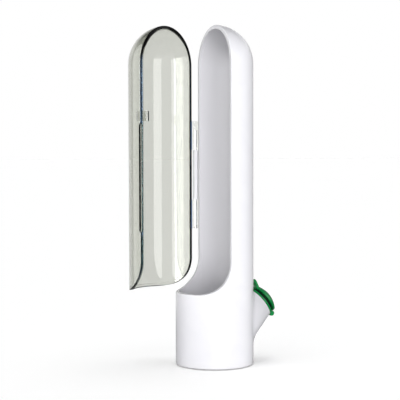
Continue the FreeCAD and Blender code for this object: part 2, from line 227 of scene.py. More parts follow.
class CoverSettings(PropertyGroup):
    """Finish of the clear cover."""

    tint: colour("Tint", "Colour that the plastic lets through", (0.31, 0.335, 0.24))
    density: strength("Density", "How fast the tint builds up, per metre", 110.0)
    face: colour(
        "Face",
        "Share of the light that a wall's polished faces let in and out",
        (0.745, 0.75, 0.712),
    )
    # Painted shade for the dark cut edges; the sill's colour is painted lighter where light gets
    # in.
    edge: colour("Edge", "Colour that shows in the upright cut edges", (0.010, 0.030, 0.095))
    top_edge: colour("Top edge", "Colour that shows in the cut edge over the dome", (0.0, 0.0, 0.0))
    low_edge: colour(
        "Low edge", "Colour of the cut edges beside the groove and below it", (0.003, 0.012, 0.018)
    )
    sill_edge: colour(
        "Sill edge", "Colour of the lower edge, where light gets in", (0.18, 0.20, 0.20)
    )
    roughness: factor("Roughness", "Roughness of the polished faces", 0.012)
    wave_width: length(
        "Wave width", "Distance between the faint upright waves in the wall", 17 * MM
    )
    wave_height: length("Wave height", "Height of the faint upright waves", 0.01 * MM)


class BaseSettings(PropertyGroup):
    """Finish of base plate and seal."""

    plate: colour("Plate", "Colour of the base plate", (0.78, 0.78, 0.80))
    seal: colour("Seal", "Colour of the seal ring", (0.42, 0.43, 0.44))
    ring_pitch: length(
        "Ring pitch", "Distance between the turned rings in the base plate's mould", 0.45 * MM
    )


class PadSettings(PropertyGroup):
    """Shape and finish of the foot pad."""

    tone: colour("Pad", "Colour of the foot pad", (0.33, 0.34, 0.35))
    stud_pitch: length("Stud pitch", "Distance between the grip studs", 3.1 * MM)
    stud_radius: length("Stud radius", "Radius of a grip stud at its root", 0.85 * MM)
    stud_height: length("Stud height", "How far the grip studs stand out of the pad", 0.45 * MM)
    border: length("Border", "Plain edge outside the studs", 1.6 * MM)
    edge_round: length("Edge round", "Rounding of the pad's lower edge", 0.3 * MM)


class FillerSettings(PropertyGroup):
    """Finish of the filler's cap and collar."""

    green: colour("Green", "Colour of cap and collar", (0.004, 0.250, 0.058))
    roughness: factor("Roughness", "Roughness of cap and collar", 0.27)


class StopperSettings(PropertyGroup):
    """Shape and finish of the soft stopper."""

    # The stopper's near-black tone is painted shade for the dark gap between cap and collar.
    tone: colour("Stopper", "Colour of the soft stopper", (0.001, 0.016, 0.006))
    lips: IntProperty(
        name="Lips", description="Number of sealing lips round the plug", min=0, max=4, default=2
    )
    lip_height: length("Lip height", "How far a sealing lip stands out of the plug", 0.25 * MM)
    lip_width: length("Lip width", "Width of a sealing lip at its root", 0.9 * MM)


class HingeSettings(PropertyGroup):
    """Finish of the hinge pins."""

    steel: colour("Steel", "Colour of the drawn rod", (0.62, 0.63, 0.65))
    roughness: factor("Roughness", "Roughness along the rod", 0.22)


class StageSettings(PropertyGroup):
    """Floor, light and camera."""

    distance: length("Distance", "Camera's level distance from the body's axis", 0.8719)
    height: length("Height", "Camera's height above the floor", 0.1624)
    azimuth: angle("Azimuth", "Camera's place round the body, from its open side", 64.234)
    yaw: angle("Yaw", "Camera's turn to the left of the body's axis", 0.724)
    pitch: angle("Pitch", "Camera's tilt below level", 2.352)
    roll: angle("Roll", "Camera's roll", -0.141)
    lens: FloatProperty(
        name="Lens",
        description="Focal length on a 36 mm sensor",
        unit="CAMERA",
        min=1,
        default=102.05,
    )
    ambient: factor("Ambient", "Light that comes evenly from all round, at the horizon", 0.33)
    ceiling: factor(
        "Ceiling", "Brightness of the ceiling that the clear plastic and the gloss show", 0.06
    )
    floor: colour("Floor", "Colour of the floor", (0.80, 0.80, 0.80))
    floor_bounce: colour(
        "Floor bounce", "Colour of the light that the floor throws back", (0.22, 0.22, 0.22)
    )
    near_floor: length("Near floor", "How far from the part the gloss shows the floor dark", 0.2)
    floor_lift: factor("Floor lift", "How much lighter the floor shows than it is lit", 0.27)


SETTINGS = {
    "herb_body": BodySettings,
    "herb_cover": CoverSettings,
    "herb_base": BaseSettings,
    "herb_pad": PadSettings,
    "herb_filler": FillerSettings,
    "herb_stopper": StopperSettings,
    "herb_hinges": HingeSettings,
    "herb_stage": StageSettings,
}


# ---------------------------------------------------------------- node helpers


def feed(tree, socket, value):
    """Links a socket to another one, or gives it a plain value; a colour is red, green, blue."""
    if isinstance(value, bpy.types.NodeSocket):
        tree.links.new(value, socket)
    else:
        socket.default_value = (*value, 1) if socket.type == "RGBA" else value


def add(tree, kind, settings=None, **inputs):
    """A node with its options set by attribute name and its inputs by socket name."""
    node = tree.nodes.new(kind)
    for name, value in (settings or {}).items():
        setattr(node, name, value)
    for name, value in inputs.items():
        feed(tree, node.inputs[name.replace("_", " ")], value)
    return node


def maths(tree, operation, *values):
    """Result of a Math node on plain values or sockets."""
    node = tree.nodes.new("ShaderNodeMath")
    node.operation = operation
    for socket, value in zip(node.inputs, values):
        feed(tree, socket, value)
    return node.outputs[0]


def product(tree, first, *others):
    for value in others:
        first = maths(tree, "MULTIPLY", first, value)
    return first


def rest_of(tree, share):
    """1 less a share."""
    return maths(tree, "SUBTRACT", 1, share)


def ramp(tree, value, low, high):
    """0 at low and 1 at high, smoothly."""
    node = add(
        tree,
        "ShaderNodeMapRange",
        {"interpolation_type": "SMOOTHSTEP"},
        Value=value,
        From_Min=low,
        From_Max=high,
    )
    return node.outputs["Result"]


def mixed(tree, share, first, second):
    """Colour between two colours."""
    node = tree.nodes.new("ShaderNodeMix")
    node.data_type = "RGBA"
    for number, value in ((0, share), (6, first), (7, second)):
        feed(tree, node.inputs[number], value)
    return node.outputs[2]


def grey(level):
    return (level, level, level)


WHITE = grey(1)


def place(tree, matrix=None):
    """Object coordinates, taken through the inverse of a placement."""
    coordinates = tree.nodes.new("ShaderNodeTexCoord").outputs["Object"]
    if matrix is None:
        return coordinates
    inverse = matrix.inverted()
    mapping = add(tree, "ShaderNodeMapping", Vector=coordinates)
    mapping.inputs["Location"].default_value = inverse.to_translation()
    mapping.inputs["Rotation"].default_value = inverse.to_euler()
    return mapping.outputs["Vector"]


def group(name, inputs, outputs):
    """An empty shader group with float inputs, a vector input for the place, and float outputs."""
    tree = bpy.data.node_groups.new(name, "ShaderNodeTree")
    tree.interface.new_socket("Place", in_out="INPUT", socket_type="NodeSocketVector")
    for title, value in inputs.items():
        socket = tree.interface.new_socket(title, in_out="INPUT", socket_type="NodeSocketFloat")
        socket.default_value = value
    for title in outputs:
        tree.interface.new_socket(title, in_out="OUTPUT", socket_type="NodeSocketFloat")
    return tree, tree.nodes.new("NodeGroupInput").outputs, tree.nodes.new("NodeGroupOutput").inputs


def use(tree, effect, where, **inputs):
    """Places a shared effect in a material; effect is the function that makes its group."""
    node = tree.nodes.new("ShaderNodeGroup")
    node.node_tree = bpy.data.node_groups.get(effect.__name__) or effect()
    tree.links.new(where, node.inputs["Place"])
    for name, value in inputs.items():
        node.inputs[name.replace("_", " ")].default_value = value
    return node.outputs


def parts_of(tree, where):
    """X, Y and Z of a place."""
    return add(tree, "ShaderNodeSeparateXYZ", Vector=where).outputs


def positive(tree, value):
    return maths(tree, "MAXIMUM", value, 0)


def hypotenuse(tree, first, second):
    squares = [maths(tree, "POWER", side, 2) for side in (first, second)]
    return maths(tree, "SQRT", maths(tree, "ADD", *squares))


def distance_from_axis(tree, where):
    """Distance from the local Z axis."""
    parts = parts_of(tree, where)
    return hypotenuse(tree, parts["X"], parts["Y"])


def over_dome_centre(tree, where):
    """Height over the dome's centre, 0 below it."""
    return positive(tree, maths(tree, "SUBTRACT", parts_of(tree, where)["Z"], DOME_CENTRE))


def distance_from_core(tree, where):
    """Distance from the upright axis, and in the dome from its centre."""
    return hypotenuse(tree, distance_from_axis(tree, where), over_dome_centre(tree, where))


def between(tree, share, first, second):
    """Value between two plain values."""
    return maths(tree, "MULTIPLY_ADD", share, second - first, first)


def noise(tree, where, scale, **inputs):
    return add(tree, "ShaderNodeTexNoise", Vector=where, Scale=scale, **inputs).outputs["Fac"]


def stretched(tree, where, share):
    """A place whose Z runs slower, so that a pattern on it is drawn out upwards."""
    return add(tree, "ShaderNodeMapping", Vector=where, Scale=(1, 1, share)).outputs["Vector"]


def bump(tree, height, distance):
    """Normal of a raised pattern, its full height given in metres."""
    node = add(tree, "ShaderNodeBump", Height=height, Distance=distance, Strength=1.0)
    return node.outputs["Normal"]


def principled(name, **plain):
    """A material with one Principled shader and its plain values."""
    material = bpy.data.materials.new(name)
    material.use_nodes = True
    tree = material.node_tree
    shader = tree.nodes["Principled BSDF"]
    for title, value in plain.items():
        feed(tree, shader.inputs[title.replace("_", " ")], value)
    return material, tree, shader


# ---------------------------------------------------------------- shared effects


def moulded_skin():
    """Fine grain and broad flow clouds of a moulded surface."""
    tree, given, out = group(
        "moulded_skin", {"Grain Size": 0.8 * MM, "Cloud Size": 22 * MM}, ("Grain", "Cloud")
    )
    fine_scale = maths(tree, "DIVIDE", 1, given["Grain Size"])
    broad_scale = maths(tree, "DIVIDE", 1, given["Cloud Size"])
    fine = noise(tree, given["Place"], fine_scale, Detail=2.0)
    broad = noise(tree, given["Place"], broad_scale, Detail=3.0, Distortion=0.6)
    tree.links.new(fine, out["Grain"])
    tree.links.new(ramp(tree, broad, *CLOUD_RANGE), out["Cloud"])
    return tree


def hairline_scuffs():
    """Sparse fine scratches in mixed directions, 1 on a scratch."""
    tree, given, out = group("hairline_scuffs", {"Scuff Size": 9 * MM}, ("Scuff",))
    patch_scale = maths(tree, "DIVIDE", 1, given["Scuff Size"])
    line_scale = maths(tree, "DIVIDE", SCRATCH_CLOSENESS, given["Scuff Size"])
    patches = noise(tree, given["Place"], patch_scale, Detail=1.0)
    lines = noise(tree, given["Place"], line_scale, Detail=0.0, Distortion=6.0)
    off_line = maths(tree, "ABSOLUTE", maths(tree, "SUBTRACT", lines, 0.5))
    scratch = rest_of(tree, ramp(tree, off_line, 0.0, SCRATCH_HALF))
    tree.links.new(product(tree, scratch, ramp(tree, patches, *SCRATCH_PATCH)), out["Scuff"])
    return tree


def turned_rings():
    """Fine rings about the local Z axis, as a lathe leaves them in a mould."""
    tree, given, out = group("turned_rings", {"Pitch": 0.5 * MM}, ("Ring",))
    reach = distance_from_axis(tree, given["Place"])
    turns = product(tree, maths(tree, "DIVIDE", reach, given["Pitch"]), 2 * math.pi)
    wave = maths(tree, "MULTIPLY_ADD", maths(tree, "SINE", turns), 0.5, 0.5)
    tree.links.new(wave, out["Ring"])
    return tree


# ---------------------------------------------------------------- forms


def form(name, inputs):
    """An empty geometry tree: geometry in and out, and named inputs given as socket types."""
    tree = bpy.data.node_groups.new(name, "GeometryNodeTree")
    tree.interface.new_socket("Geometry", in_out="INPUT", socket_type="NodeSocketGeometry")
    for title, kind in inputs.items():
        tree.interface.new_socket(title, in_out="INPUT", socket_type="NodeSocket" + kind)
    tree.interface.new_socket("Geometry", in_out="OUTPUT", socket_type="NodeSocketGeometry")
    return tree, tree.nodes.new("NodeGroupInput").outputs, tree.nodes.new("NodeGroupOutput").inputs


def deliver(tree, geometry, material, out):
    """Ends a tree: plain geometry with its material."""
    real = add(tree, "GeometryNodeRealizeInstances", Geometry=geometry)
    done = add(tree, "GeometryNodeSetMaterial", Geometry=real.outputs[0], Material=material)
    tree.links.new(done.outputs[0], out["Geometry"])


def moved(tree, grid, **where):
    """A grid's points put at a Position, or moved by an Offset."""
    node = add(tree, "GeometryNodeSetPosition", Geometry=grid.outputs["Mesh"], **where)
    return node.outputs[0]


def turned_skin(tree, profile, segments):
    """Skin that a profile of points in the XZ plane sweeps round the Z axis."""
    size = add(tree, "GeometryNodeAttributeDomainSize", Geometry=profile)
    rows = maths(tree, "ADD", segments, 1)
    columns = size.outputs["Point Count"]
    grid = add(tree, "GeometryNodeMeshGrid", Vertices_X=columns, Vertices_Y=rows)
    index = tree.nodes.new("GeometryNodeInputIndex").outputs[0]
    along = maths(tree, "FLOOR", maths(tree, "DIVIDE", index, rows))
    turn = maths(tree, "DIVIDE", maths(tree, "MODULO", index, rows), segments)
    point = add(
        tree,
        "GeometryNodeSampleIndex",
        {"data_type": "FLOAT_VECTOR"},
        Geometry=profile,
        Value=tree.nodes.new("GeometryNodeInputPosition").outputs[0],
        Index=along,
    )
    parts = parts_of(tree, point.outputs[0])
    swung = product(tree, turn, 2 * math.pi)
    spot = add(
        tree,
        "ShaderNodeCombineXYZ",
        X=product(tree, parts["X"], maths(tree, "COSINE", swung)),
        Y=product(tree, parts["X"], maths(tree, "SINE", swung)),
        Z=parts["Z"],
    )
    bent = moved(tree, grid, Position=spot.outputs[0])
    closed = add(tree, "GeometryNodeMergeByDistance", Geometry=bent, Distance=MERGE_DISTANCE)
    return closed.outputs[0]


def turned_form():
    """Solid that a profile sweeps round the Z axis."""
    tree, given, out = form("turned_form", {"Segments": "Int", "Material": "Material"})
    skin = turned_skin(tree, given["Geometry"], given["Segments"])
    deliver(tree, skin, given["Material"], out)
    return tree


def studded_form():
    """Turned disc with grip studs in staggered rows under it."""
    titles = ("Reach", "Pitch", "Stud Radius", "Stud Height", "Sunk")
    inputs = {"Segments": "Int", "Rows": "Int", **{title: "Float" for title in titles}}
    tree, given, out = form("studded_form", {**inputs, "Material": "Material"})
    disc = turned_skin(tree, given["Geometry"], given["Segments"])
    span = product(tree, maths(tree, "SUBTRACT", given["Rows"], 1), given["Pitch"])
    spots = add(
        tree,
        "GeometryNodeMeshGrid",
        Size_X=product(tree, span, ROW_STEP),
        Size_Y=span,
        Vertices_X=given["Rows"],
        Vertices_Y=given["Rows"],
    )
    index = tree.nodes.new("GeometryNodeInputIndex").outputs[0]
    row = maths(tree, "FLOOR", maths(tree, "DIVIDE", index, given["Rows"]))
    half_pitch = maths(tree, "DIVIDE", given["Pitch"], 2)
    shift = product(tree, maths(tree, "MODULO", row, 2), half_pitch)
    staggered = moved(tree, spots, Offset=add(tree, "ShaderNodeCombineXYZ", Y=shift).outputs[0])
    here = tree.nodes.new("GeometryNodeInputPosition").outputs[0]
    kept = add(
        tree,
        "GeometryNodeDeleteGeometry",
        {"domain": "POINT"},
        Geometry=staggered,
        Selection=maths(tree, "GREATER_THAN", distance_from_axis(tree, here), given["Reach"]),
    )
    cone = add(
        tree,
        "GeometryNodeMeshCone",
        Vertices=STUD_SIDES,
        Radius_Top=given["Stud Radius"],
        Radius_Bottom=product(tree, given["Stud Radius"], STUD_TAPER),
        Depth=maths(tree, "ADD", given["Stud Height"], given["Sunk"]),
    )
    stud = cone.outputs["Mesh"]
    studs = add(tree, "GeometryNodeInstanceOnPoints", Points=kept.outputs[0], Instance=stud)
    join = tree.nodes.new("GeometryNodeJoinGeometry")
    tree.links.new(disc, join.inputs[0])
    tree.links.new(studs.outputs[0], join.inputs[0])
    deliver(tree, join.outputs[0], given["Material"], out)
    return tree


def profile_points(points, rounds):
    """Profile with corners rounded: rounds gives a corner's radius by its number in points."""
    result = []
    for number, point in enumerate(points):
        radius = rounds.get(number)
        if not radius:
            result.append(Vector(point))
            continue
        corner = Vector(point)
        before = (Vector(points[number - 1]) - corner).normalized()
        after = (Vector(points[number + 1]) - corner).normalized()
        half = before.angle(after) / 2
        start = corner + before * (radius / math.tan(half))
        end = corner + after * (radius / math.tan(half))
        centre = corner + (before + after).normalized() * (radius / math.sin(half))
        first, last = start - centre, end - centre
        swing = first.angle(last)
        for step in range(ROUND_STEPS + 1):
            share = step / ROUND_STEPS
            arm = math.sin((1 - share) * swing) * first + math.sin(share * swing) * last
            result.append(centre + arm / math.sin(swing))
    return result


def stand(name, data):
    """A new object in the scene."""
    thing = bpy.data.objects.new(name, data)
    bpy.context.scene.collection.objects.link(thing)
    return thing


def grown(name, tree, profile, material, matrix, **inputs):
    """Plain mesh that a geometry tree grows from a profile, taken to its place."""
    mesh = bpy.data.meshes.new(name + "_profile")
    edges = [(i, i + 1) for i in range(len(profile) - 1)]
    mesh.from_pydata([(p.x, 0, p.y) for p in profile], edges, [])
    seed = stand(name + "_profile", mesh)
    modifier = seed.modifiers.new(name, "NODES")
    modifier.node_group = tree
    values = {title.replace("_", " "): value for title, value in inputs.items()}
    values["Material"] = material
    for item in tree.interface.items_tree:
        if item.in_out == "INPUT" and item.name in values:
            modifier[item.identifier] = values[item.name]
    seen = bpy.context.evaluated_depsgraph_get()
    plain = bpy.data.meshes.new_from_object(seed.evaluated_get(seen), depsgraph=seen)
    bpy.data.objects.remove(seed)
    plain.name = name
    plain.transform(matrix)
    for polygon in plain.polygons:
        polygon.use_smooth = True
    plain.set_sharp_from_angle(angle=math.radians(SHARP_ANGLE))
    if not plain.polygons:
        raise RuntimeError(name + " came out empty")
    return stand(name, plain)


# ---------------------------------------------------------------- pieces


def dress(node, material):
    """Gives a construction node its finish."""
    piece = frame["nodes"][node]
    for slot in piece.material_slots:
        slot.material = material


def finish(tree, shader, tone, roughness, normal):
    """Gives a shader its colour, roughness and relief, as sockets or plain values."""
    feed(tree, shader.inputs["Base Color"], tone)
    feed(tree, shader.inputs["Roughness"], roughness)
    feed(tree, shader.inputs["Normal"], normal)


def white_moulding(settings):
    """White plastic, polished outside, greyer inside as painted shade, dust and scuffs at the foot.
    """
    material, tree, shader = principled("white_moulding", IOR=PLASTIC_IOR)
    where = place(tree)
    skin = use(tree, moulded_skin, where, Grain_Size=settings.grain)
    scuff = use(tree, hairline_scuffs, where)
    low = rest_of(tree, ramp(tree, parts_of(tree, where)["Z"], 0.0, settings.scuff_height))
    radius = distance_from_core(tree, where)
    inner = BODY_RADIUS - 2 * settings.wall
    outside = ramp(tree, radius, inner, inner + HOLLOW_SHADE_BLEND * settings.wall)
    clean = mixed(tree, skin["Cloud"], settings.white, settings.shade)
    # Painted shade: the inner wall takes the greyer hollow colour.
    clean = mixed(tree, outside, settings.hollow, clean)
    dusty = product(tree, low, skin["Grain"], DUST_SHARE)
    tone = mixed(tree, dusty, clean, settings.dust)
    polished = ramp(tree, radius, inner, BODY_RADIUS - settings.wall)
    shine = between(tree, polished, settings.inside, settings.roughness)
    shine = maths(tree, "MULTIPLY_ADD", skin["Cloud"], CLOUD_ROUGHNESS["white"], shine)
    worn = product(tree, scuff["Scuff"], low)
    shine = maths(tree, "MULTIPLY_ADD", worn, SCUFF_ROUGHNESS["white"], shine)
    raised = bump(tree, skin["Grain"], GRAIN_HEIGHT["white"])
    finish(tree, shader, tone, shine, raised)
    return material


def closed_cover():
    """Placement that takes the cover from closed to where it stands at rest."""
    hinge = next(j for j in frame["joints"] if j["name"] == "cover_hinge")
    pivot = Matrix.Translation(hinge["pos_m"])
    turn = Matrix.Rotation(math.radians(-hinge["range_deg"][0]), 4, Vector(hinge["axis"]))
    return pivot @ turn @ pivot.inverted()


def beside_groove(tree, parts):
    """1 at the finger groove's height on the cover's free side, in the closed cover's place."""
    above = maths(tree, "GREATER_THAN", parts["Z"], GROOVE_SPAN[0])
    below = maths(tree, "LESS_THAN", parts["Z"], GROOVE_SPAN[1])
    free_side = maths(tree, "GREATER_THAN", parts["X"], 0)
    return product(tree, free_side, above, below)


def cover_edge(tree, where):
    """1 on the opening's cut edge, painted dark as shade, in the closed cover's place."""
    parts = parts_of(tree, where)
    forward = positive(tree, maths(tree, "ADD", parts["Y"], SILL_CORNER))
    below = positive(tree, maths(tree, "SUBTRACT", SILL_HEIGHT + SILL_CORNER, parts["Z"]))
    reach = hypotenuse(tree, forward, below)
    inward = maths(tree, "SUBTRACT", SILL_CORNER - COVER_GAP, reach)
    over = over_dome_centre(tree, where)
    hinge_side = ramp(tree, parts["X"], *HINGE_SIDE)
    rise = product(tree, hinge_side, ramp(tree, over, *GROWS_ON_HINGE_SIDE))
    rise = maths(tree, "MAXIMUM", rise, ramp(tree, over, *GROWS_ON_FREE_SIDE))
    rise = product(tree, rise, between(tree, hinge_side, *DOME_ADDS))
    depth = maths(tree, "ADD", rise, EDGE_DEPTH)
    depth = maths(tree, "MULTIPLY_ADD", beside_groove(tree, parts), GROOVE_ADDS, depth)
    cut = maths(tree, "LESS_THAN", inward, depth)
    radius = distance_from_core(tree, where)
    wall = maths(tree, "GREATER_THAN", radius, COVER_INSIDE - SLACK)
    within = maths(tree, "LESS_THAN", radius, BODY_RADIUS + SLACK)
    return product(tree, cut, wall, within)


def groove_edge(tree, where):
    """1 on the finger groove's back wall, painted dark as shade, in the closed cover's place."""
    parts = parts_of(tree, where)
    off = maths(tree, "ABSOLUTE", maths(tree, "ADD", parts["Y"], GROOVE_WIDTH))
    near = maths(tree, "LESS_THAN", off, GROOVE_WALL_SLACK)
    outside = maths(tree, "GREATER_THAN", distance_from_axis(tree, where), GROOVE_FLOOR)
    return product(tree, near, outside, beside_groove(tree, parts))


def clear_moulding(settings):
    """Clear plastic with a faint tint that deepens with the way through it, and painted edge shade.
    """
    material, tree, shader = principled(
        "clear_moulding", IOR=PLASTIC_IOR, Transmission_Weight=1.0
    )
    where = place(tree, closed_cover())
    edge = maths(tree, "MAXIMUM", cover_edge(tree, where), groove_edge(tree, where))
    parts = parts_of(tree, where)
    height = parts["Z"]
    # Painted shade on the cut edges: lighter at the sill where light gets in, black over the arch.
    sill = ramp(tree, height, SILL_HEIGHT + SILL_CORNER, SILL_HEIGHT)
    tone = mixed(tree, sill, settings.edge, settings.sill_edge)
    arch = ramp(tree, height, *ARCH_BLEND)
    tone = mixed(tree, arch, tone, settings.top_edge)
    under = product(tree, ramp(tree, height, *UNDER_GROOVE_BLEND), rest_of(tree, sill))
    low = maths(tree, "MAXIMUM", under, beside_groove(tree, parts))
    tone = mixed(tree, low, tone, settings.low_edge)
    radius = distance_from_axis(tree, where)
    knuckle = maths(tree, "GREATER_THAN", radius, BODY_RADIUS + SLACK)
    face = mixed(tree, knuckle, settings.face, WHITE)
    # Painted shade: the cut edge's gloss is dimmed so that the edge shows darker.
    painted_dimming = between(tree, maths(tree, "MAXIMUM", arch, low), *EDGE_SHADE_DIMMING)
    gloss = mixed(tree, product(tree, edge, painted_dimming), WHITE, grey(EDGE_SHADE_GLOSS))
    feed(tree, shader.inputs["Specular Tint"], gloss)
    scuff = use(tree, hairline_scuffs, where)["Scuff"]
    shine = maths(tree, "MULTIPLY_ADD", scuff, SCUFF_ROUGHNESS["clear"], settings.roughness)
    drawn_out = stretched(tree, where, WAVE_STRETCH)
    waves = noise(tree, drawn_out, 1 / settings.wave_width, Detail=0.0)
    raised = bump(tree, waves, settings.wave_height)
    finish(tree, shader, mixed(tree, edge, face, tone), shine, raised)
    deep = add(tree, "ShaderNodeVolumeAbsorption", Color=settings.tint, Density=settings.density)
    tree.links.new(deep.outputs[0], tree.nodes["Material Output"].inputs["Volume"])
    let_lamps_through(tree, shader)
    return material


def let_lamps_through(tree, shader):
    """Clear plastic throws a light shadow: light from lamps goes straight through it."""
    rays = tree.nodes.new("ShaderNodeLightPath").outputs
    passing = maths(tree, "MAXIMUM", rays["Is Shadow Ray"], rays["Is Diffuse Ray"])
    open_way = add(tree, "ShaderNodeBsdfTransparent", Color=grey(LAMPS_THROUGH))
    mix = tree.nodes.new("ShaderNodeMixShader")
    tree.links.new(passing, mix.inputs[0])
    tree.links.new(shader.outputs[0], mix.inputs[1])
    tree.links.new(open_way.outputs[0], mix.inputs[2])
    tree.links.new(mix.outputs[0], tree.nodes["Material Output"].inputs["Surface"])


def clouded(tree, cloud, tone, kind):
    """A plain colour with its flow clouds."""
    return mixed(tree, cloud, tone, [CLOUD_TONE[kind] * part for part in tone])


def matt_moulding(settings):
    """White base plate: sparked mould grain over fine turned rings."""
    material, tree, shader = principled("matt_moulding", IOR=PLASTIC_IOR)
    where = place(tree)
    skin = use(tree, moulded_skin, where, Grain_Size=0.35 * MM)
    rings = use(tree, turned_rings, where, Pitch=settings.ring_pitch)
    height = maths(tree, "MULTIPLY_ADD", rings["Ring"], RING_SHARE, skin["Grain"])
    clouds = clouded(tree, skin["Cloud"], settings.plate, "plate")
    raised = bump(tree, height, GRAIN_HEIGHT["plate"])
    finish(tree, shader, clouds, roughness=0.55, normal=raised)
    return material


def make_foot_pad(settings):
    """Soft pad with grip studs; the studs' tips stand on the surface."""
    low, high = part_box("foot_pad")
    radius = high.x
    bottom = low.z + settings.stud_height
    profile = profile_points(
        [(0, bottom), (radius, bottom), (radius, high.z), (0, high.z)], {1: settings.edge_round}
    )
    reach = radius - settings.border - settings.stud_radius
    rows = 2 * math.ceil(reach / (settings.stud_pitch * ROW_STEP)) + 1
    rubber = soft_rubber("pad_rubber", settings.tone, roughness=0.72, grain=0.25 * MM)
    pad = grown(
        "grip_pad",
        studded_form(),
        profile,
        rubber,
        Matrix.Identity(4),
        Segments=PAD_SEGMENTS,
        Rows=rows,
        Reach=reach,
        Pitch=settings.stud_pitch,
        Stud_Radius=settings.stud_radius,
        Stud_Height=settings.stud_height,
        Sunk=STUD_SUNK,
    )
    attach(pad, "keeper")
    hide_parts("foot_pad")


def make_stopper(settings):
    """Stud, broad band and tapered plug with sealing lips, turned in one soft piece."""
    points = [(0, PLUG_BOTTOM), (PLUG_TIP, PLUG_BOTTOM)]
    rounds = {1: SOFT_EDGE}
    for lip in range(settings.lips):
        share = (lip + LIP_START) / (settings.lips + 2 * LIP_START - 1)
        height = PLUG_BOTTOM + share * (COLLAR_TOP - PLUG_BOTTOM)
        body = PLUG_TIP + share * (PLUG_TOP - PLUG_TIP)
        half = settings.lip_width / 2
        points.append((body, height - half))
        rounds[len(points)] = settings.lip_height / 2
        points.append((body + settings.lip_height, height))
        points.append((body, height + half))
    points.append((PLUG_TOP, COLLAR_TOP))
    points.append((PLUG_TOP, BAND_BOTTOM))
    points.append((BAND_RADIUS, BAND_BOTTOM))
    rounds[len(points) - 1] = SOFT_EDGE
    points.append((BAND_RADIUS, BAND_TOP))
    points.append((STUD_RADIUS, BAND_TOP))
    points.append((STUD_RADIUS, STUD_TOP))
    points.append((0, STUD_TOP))
    # Painted shade: the near-black tone and low sheen darken the gap between cap and collar.
    rubber = soft_rubber(
        "stopper_rubber_painted_shade", settings.tone, roughness=0.5, grain=0.3 * MM, sheen=0.15
    )
    profile = profile_points(points, rounds)
    seat = Matrix.Translation(MOUTH) @ Matrix.Rotation(MOUTH_TURN, 4, "X")
    stopper = grown(
        "lipped_stopper", turned_form(), profile, rubber, seat, Segments=STOPPER_SEGMENTS
    )
    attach(stopper, "filler_lid")
    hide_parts("filler_stopper")


def soft_rubber(name, tone, roughness, grain, sheen=0.35):
    """Soft rubber with a fine grain and slight clouds; sheen is its specular level."""
    material, tree, shader = principled(name, IOR=RUBBER_IOR, Specular_IOR_Level=sheen)
    skin = use(tree, moulded_skin, place(tree), Grain_Size=grain, Cloud_Size=9 * MM)
    clouds = clouded(tree, skin["Cloud"], tone, "rubber")
    shine = maths(tree, "MULTIPLY_ADD", skin["Cloud"], CLOUD_ROUGHNESS["rubber"], roughness)
    finish(tree, shader, clouds, shine, bump(tree, skin["Grain"], GRAIN_HEIGHT["rubber"]))
    return material


def green_moulding(settings):
    """Satin green plastic of cap and collar."""
    material, tree, shader = principled(
        "green_moulding", IOR=PLASTIC_IOR, Specular_IOR_Level=0.3
    )
    where = place(tree)
    skin = use(tree, moulded_skin, where, Grain_Size=0.5 * MM, Cloud_Size=12 * MM)
    scuff = use(tree, hairline_scuffs, where, Scuff_Size=5 * MM)["Scuff"]
    clouds = clouded(tree, skin["Cloud"], settings.green, "green")
    shine = maths(tree, "MULTIPLY_ADD", scuff, SCUFF_ROUGHNESS["green"], settings.roughness)
    finish(tree, shader, clouds, shine, bump(tree, skin["Grain"], GRAIN_HEIGHT["green"]))
    return material


def drawn_steel(name, settings, axis):
    """Drawn rod with fine streaks along its axis."""
    material, tree, shader = principled(name, Metallic=1.0)
    along = Matrix.Rotation(math.pi / 2, 4, "Y") if axis == "X" else Matrix.Identity(4)
    drawn_out = stretched(tree, place(tree, along), STREAK_STRETCH)
    streaks = noise(tree, drawn_out, 1 / STREAK_WIDTH, Detail=2.0)
    shine = maths(tree, "MULTIPLY_ADD", streaks, STREAK_ROUGHNESS, settings.roughness)
    raised = bump(tree, streaks, GRAIN_HEIGHT["steel"])
    finish(tree, shader, settings.steel, shine, raised)
    return material


# ---------------------------------------------------------------- operators


class HERB_OT_body(Operator):
    """Give the white body its polished moulded finish"""

    bl_idname = "herb.body"
    bl_label = "Body"

    def execute(self, context):
        dress("body_shell", white_moulding(context.scene.herb_body))
        return {"FINISHED"}


class HERB_OT_cover(Operator):
    """Give the swinging cover its clear finish"""

    bl_idname = "herb.cover"
    bl_label = "Cover"

    def execute(self, context):
        dress("cover_shell", clear_moulding(context.scene.herb_cover))
        return {"FINISHED"}


class HERB_OT_base(Operator):
    """Finish the base plate and its seal"""

    bl_idname = "herb.base"
    bl_label = "Base"

    def execute(self, context):
        settings = context.scene.herb_base
        dress("base_plate", matt_moulding(settings))
        rubber = soft_rubber("seal_rubber", settings.seal, roughness=0.5, grain=0.3 * MM)
        dress("base_seal", rubber)
        return {"FINISHED"}


class HERB_OT_pad(Operator):
    """Make the foot pad with its grip studs"""

    bl_idname = "herb.pad"
    bl_label = "Foot pad"

    def execute(self, context):
        make_foot_pad(context.scene.herb_pad)
        return {"FINISHED"}


class HERB_OT_filler(Operator):
    """Finish the filler's collar and cap"""

    bl_idname = "herb.filler"
    bl_label = "Filler"

    def execute(self, context):
        green = green_moulding(context.scene.herb_filler)
        dress("filler_collar", green)
        dress("filler_cap", green)
        return {"FINISHED"}


class HERB_OT_stopper(Operator):
    """Make the soft stopper with its sealing lips"""

    bl_idname = "herb.stopper"
    bl_label = "Stopper"

    def execute(self, context):
        make_stopper(context.scene.herb_stopper)
        return {"FINISHED"}


